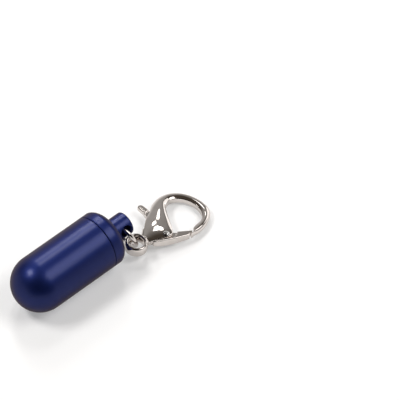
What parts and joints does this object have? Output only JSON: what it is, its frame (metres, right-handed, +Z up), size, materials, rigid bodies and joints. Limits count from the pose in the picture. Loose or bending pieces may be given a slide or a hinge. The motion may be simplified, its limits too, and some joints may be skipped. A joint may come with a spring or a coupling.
{
  "type": "address capsule",
  "caption": "Screw-together aluminium capsule for a rolled paper slip, with a sealed cap, a jump ring and a sprung lobster clasp.",
  "frame": {"origin": "bottom centre of the whole object's box, on the surface that the capsule lies on", "axes": "+X along the capsule's axis from its round nose to its stem, +Z up, and the clasp's gate towards -Y"},
  "size_m": [0.0588, 0.0188, 0.015],
  "materials": {
    "barrel": "satin dark blue anodised",
    "cap": "satin dark blue anodised",
    "o_ring": "black nitrile rubber",
    "address_slip": "uncoated white paper",
    "jump_ring": "bright nickel plate",
    "clasp_body": "bright nickel plate on a casting",
    "clasp_lever": "bright nickel plate on a casting",
    "lever_rivet": "plain steel",
    "lever_spring": "drawn spring wire"
  },
  "bodies": {
    "barrel": {"barrel": "barrel"},
    "slip": {"address_slip": "address_slip"},
    "seal": {"o_ring": "o_ring"},
    "cap": {"cap": "cap"},
    "link": {"jump_ring": "jump_ring"},
    "clasp": {"clasp_body": "clasp_body", "lever_rivet": "lever_rivet"},
    "lever": {"clasp_lever": "clasp_lever", "lever_spring": "lever_spring"}
  },
  "joints": [
    {"name": "cap_pull", "type": "slide", "parent": "barrel", "child": "slip", "axis": [1, 0, 0], "range_m": [0, 0.018]},
    {"name": "thread_advance", "type": "slide", "parent": "slip", "child": "seal", "axis": [1, 0, 0], "range_m": [0, 0.003]},
    {"name": "cap_turn", "type": "hinge", "parent": "seal", "child": "cap", "pos_m": [-0.00286, 0.00193, 0.0075], "axis": [1, 0, 0], "range_deg": [0, 1080]},
    {"name": "link_swing", "type": "hinge", "parent": "cap", "child": "link", "pos_m": [0.00477, 0.00193, 0.0075], "axis": [0, -0.9659, 0.2588], "range_deg": [0, 120]},
    {"name": "clasp_yaw", "type": "hinge", "parent": "link", "child": "clasp", "pos_m": [0.00639, -0.00261, 0.00306], "axis": [0.0891, -0.0173, 0.9959], "range_deg": [-60, 25]},
    {"name": "lever_open", "type": "hinge", "parent": "clasp", "child": "lever", "pos_m": [0.01405, -0.00542, 0.00232], "axis": [0.0891, -0.0173, 0.9959], "range_deg": [0, 25], "stiffness_Nm_per_rad": 0.002, "springref_deg": -22.92}
  ],
  "couplings": [
    {"joint": "thread_advance", "follows": "cap_turn", "m_per_rad": 0.00015915}
  ]
}
